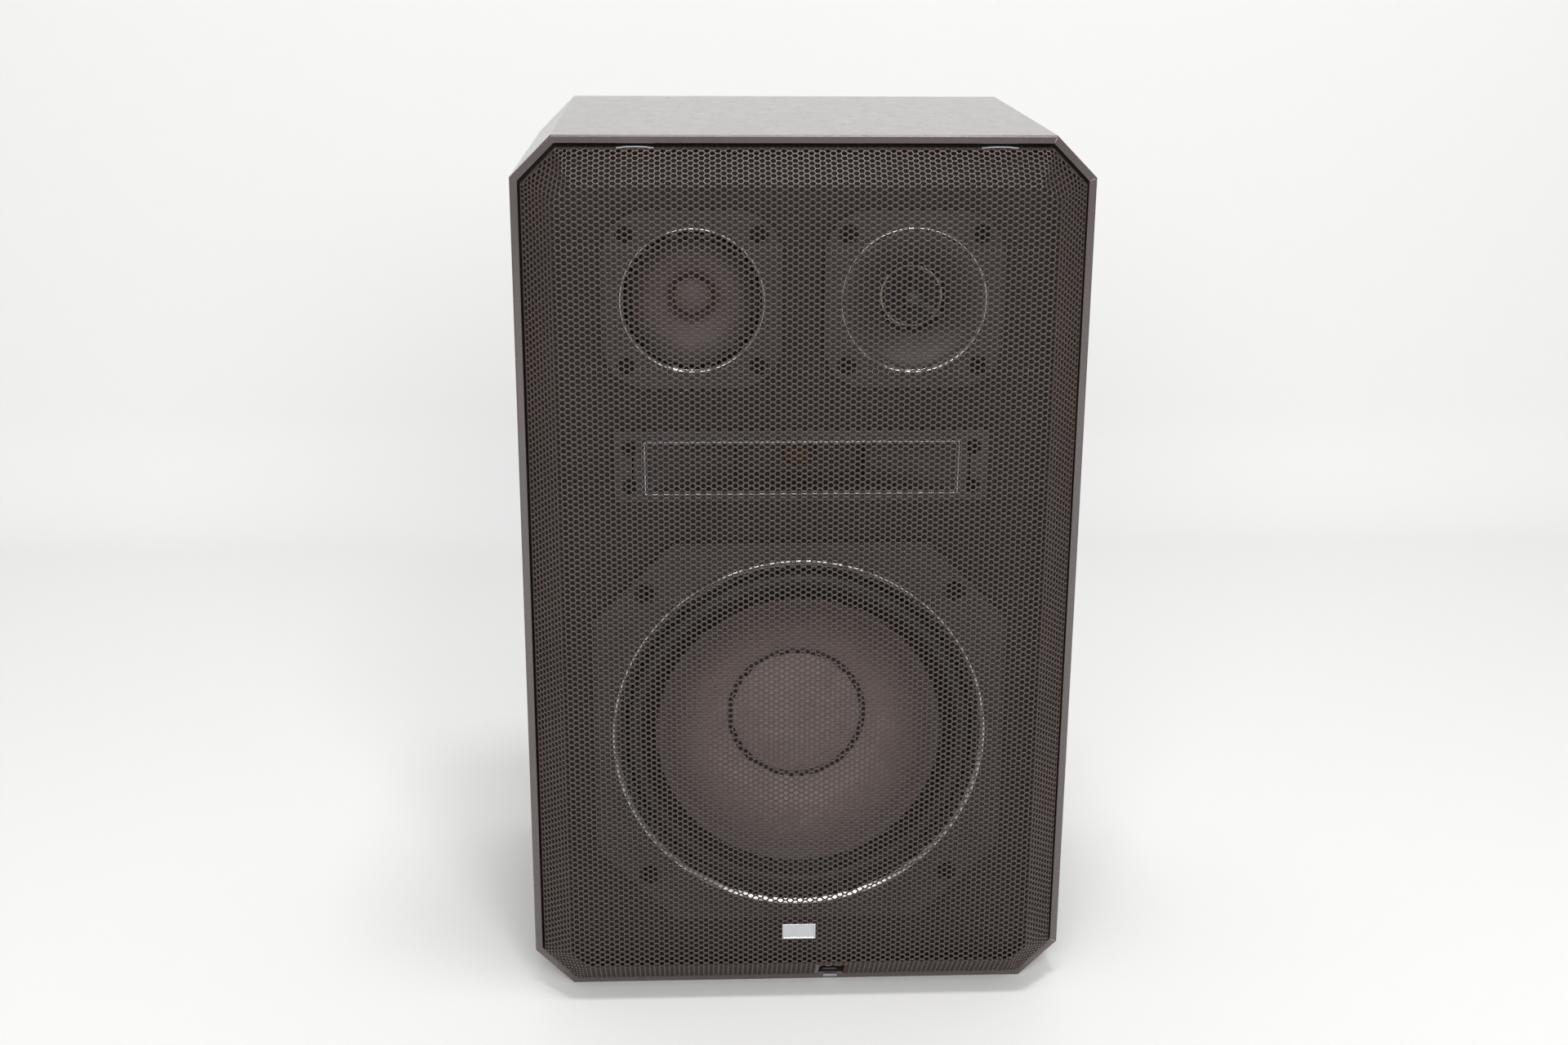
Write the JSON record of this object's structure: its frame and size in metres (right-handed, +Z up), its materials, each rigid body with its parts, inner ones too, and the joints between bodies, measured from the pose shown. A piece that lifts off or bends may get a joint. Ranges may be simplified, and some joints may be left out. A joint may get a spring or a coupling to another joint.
{
  "type": "loudspeaker cabinet",
  "caption": "Octagonal bookshelf or monitor loudspeaker with a perforated steel grille over a woofer, a cone midrange, a flared dome tweeter and a slot horn.",
  "frame": {"origin": "centre of the flat bottom face, midway between the front rim and the rear edges", "axes": "+Z up, +Y from the grille to the rear, +X to the right seen from the front"},
  "size_m": [0.281, 0.2254, 0.4512],
  "materials": {
    "shell_foil": "fine-grained dark brown foil over board, satin",
    "baffle_board": "dark brown paint, matt",
    "rear_board": "dark stained board, matt",
    "fleece": "loose polyester fleece",
    "grille_paint": "dark brown stoved paint on perforated steel, satin",
    "badge_metal": "satin",
    "spring_steel": "bright",
    "bracket_paint": "matt",
    "basket_paint": "satin black",
    "bright_trim": "polished",
    "black_felt": "matt",
    "surround_rubber": "satin",
    "cone_paper": "pressed pulp, coated",
    "cap_paper": "pressed pulp, coated",
    "copper_wire": "enamelled",
    "spider_cloth": "resin-dipped cotton",
    "zinc_steel": "zinc plated",
    "ferrite": "matt sintered",
    "black_screw": "blackened steel",
    "small_frame": "moulded, satin",
    "dome_cloth": "doped, soft sheen",
    "plug_plastic": "moulded",
    "horn_plastic": "moulded, satin",
    "driver_can": "satin",
    "phenolic": "pressed phenolic cloth",
    "cup_plastic": "moulded, fine texture",
    "lever_red": "moulded",
    "lever_black": "moulded",
    "hardboard": "smooth hardboard",
    "spacer_nylon": "natural nylon",
    "capacitor_film": "shrink sleeve",
    "resistor_cement": "cement case",
    "wire_pvc": "PVC insulation"
  },
  "bodies": {
    "cabinet": {"top_panel": "shell_foil", "bottom_panel": "shell_foil", "left_panel": "shell_foil", "right_panel": "shell_foil", "corner_top_left": "shell_foil", "corner_top_right": "shell_foil", "corner_bottom_left": "shell_foil", "corner_bottom_right": "shell_foil", "baffle": "baffle_board", "rear_panel": "rear_board", "wadding": "fleece", "woofer_basket": "basket_paint", "woofer_trim_ring": "bright_trim", "woofer_gasket": "black_felt", "woofer_surround": "surround_rubber", "woofer_spider": "spider_cloth", "woofer_top_plate": "zinc_steel", "woofer_magnet": "ferrite", "woofer_yoke": "zinc_steel", "woofer_screws": "black_screw", "mid_frame": "small_frame", "mid_trim_ring": "bright_trim", "mid_surround": "surround_rubber", "mid_top_plate": "zinc_steel", "mid_magnet": "ferrite", "mid_yoke": "zinc_steel", "tweeter_faceplate": "small_frame", "tweeter_trim_ring": "bright_trim", "tweeter_phase_plug": "plug_plastic", "tweeter_top_plate": "zinc_steel", "tweeter_magnet": "ferrite", "tweeter_yoke": "zinc_steel", "horn_body": "horn_plastic", "horn_trim_frame": "bright_trim", "horn_driver": "driver_can", "flange_screws": "black_screw", "terminal_cup": "cup_plastic", "terminal_screws": "black_screw", "crossover_board": "hardboard", "crossover_spacers": "spacer_nylon", "crossover_coils": "copper_wire", "crossover_capacitors": "capacitor_film", "crossover_resistors": "resistor_cement", "internal_wires": "wire_pvc"},
    "grille": {"grille": "grille_paint", "grille_badge": "badge_metal", "grille_clips": "spring_steel", "catch_bracket": "bracket_paint"},
    "grille_catch": {"catch_leaf": "spring_steel"},
    "woofer_moving_parts": {"woofer_cone": "cone_paper", "woofer_dust_cap": "cap_paper", "woofer_voice_coil": "copper_wire"},
    "mid_moving_parts": {"mid_cone": "cone_paper", "mid_dust_cap": "cap_paper", "mid_voice_coil": "copper_wire"},
    "tweeter_moving_parts": {"tweeter_dome": "dome_cloth", "tweeter_voice_coil": "copper_wire"},
    "horn_moving_parts": {"horn_diaphragm": "phenolic"},
    "red_lever": {"lever_red": "lever_red"},
    "black_lever": {"lever_black": "lever_black"}
  },
  "joints": [
    {"name": "grille_pull", "type": "slide", "parent": "cabinet", "child": "grille", "axis": [0, -1, 0], "range_m": [0, 0.06]},
    {"name": "catch_lift", "type": "hinge", "parent": "grille", "child": "grille_catch", "pos_m": [0.0175, -0.0975, 0.0049], "axis": [1, 0, 0], "range_deg": [-10, 0], "stiffness_Nm_per_rad": 0.02, "springref_deg": 5.73},
    {"name": "woofer_travel", "type": "slide", "parent": "cabinet", "child": "woofer_moving_parts", "axis": [0, -1, 0], "range_m": [-0.004, 0.004], "stiffness_N_per_m": 1200, "deforming": ["woofer_surround", "woofer_spider"]},
    {"name": "mid_travel", "type": "slide", "parent": "cabinet", "child": "mid_moving_parts", "axis": [0, -1, 0], "range_m": [-0.001, 0.001], "stiffness_N_per_m": 3000, "deforming": ["mid_surround"]},
    {"name": "tweeter_travel", "type": "slide", "parent": "cabinet", "child": "tweeter_moving_parts", "axis": [0, -1, 0], "range_m": [-0.0003, 0.0003], "stiffness_N_per_m": 5000},
    {"name": "horn_travel", "type": "slide", "parent": "cabinet", "child": "horn_moving_parts", "axis": [0, -1, 0], "range_m": [-0.0002, 0.0002], "stiffness_N_per_m": 8000},
    {"name": "red_lever_press", "type": "hinge", "parent": "cabinet", "child": "red_lever", "pos_m": [0.017, 0.084, 0.094], "axis": [1, 0, 0], "range_deg": [-22, 0], "stiffness_Nm_per_rad": 0.08, "springref_deg": 20.05},
    {"name": "black_lever_press", "type": "hinge", "parent": "cabinet", "child": "black_lever", "pos_m": [-0.017, 0.084, 0.094], "axis": [1, 0, 0], "range_deg": [-22, 0], "stiffness_Nm_per_rad": 0.08, "springref_deg": 20.05}
  ]
}
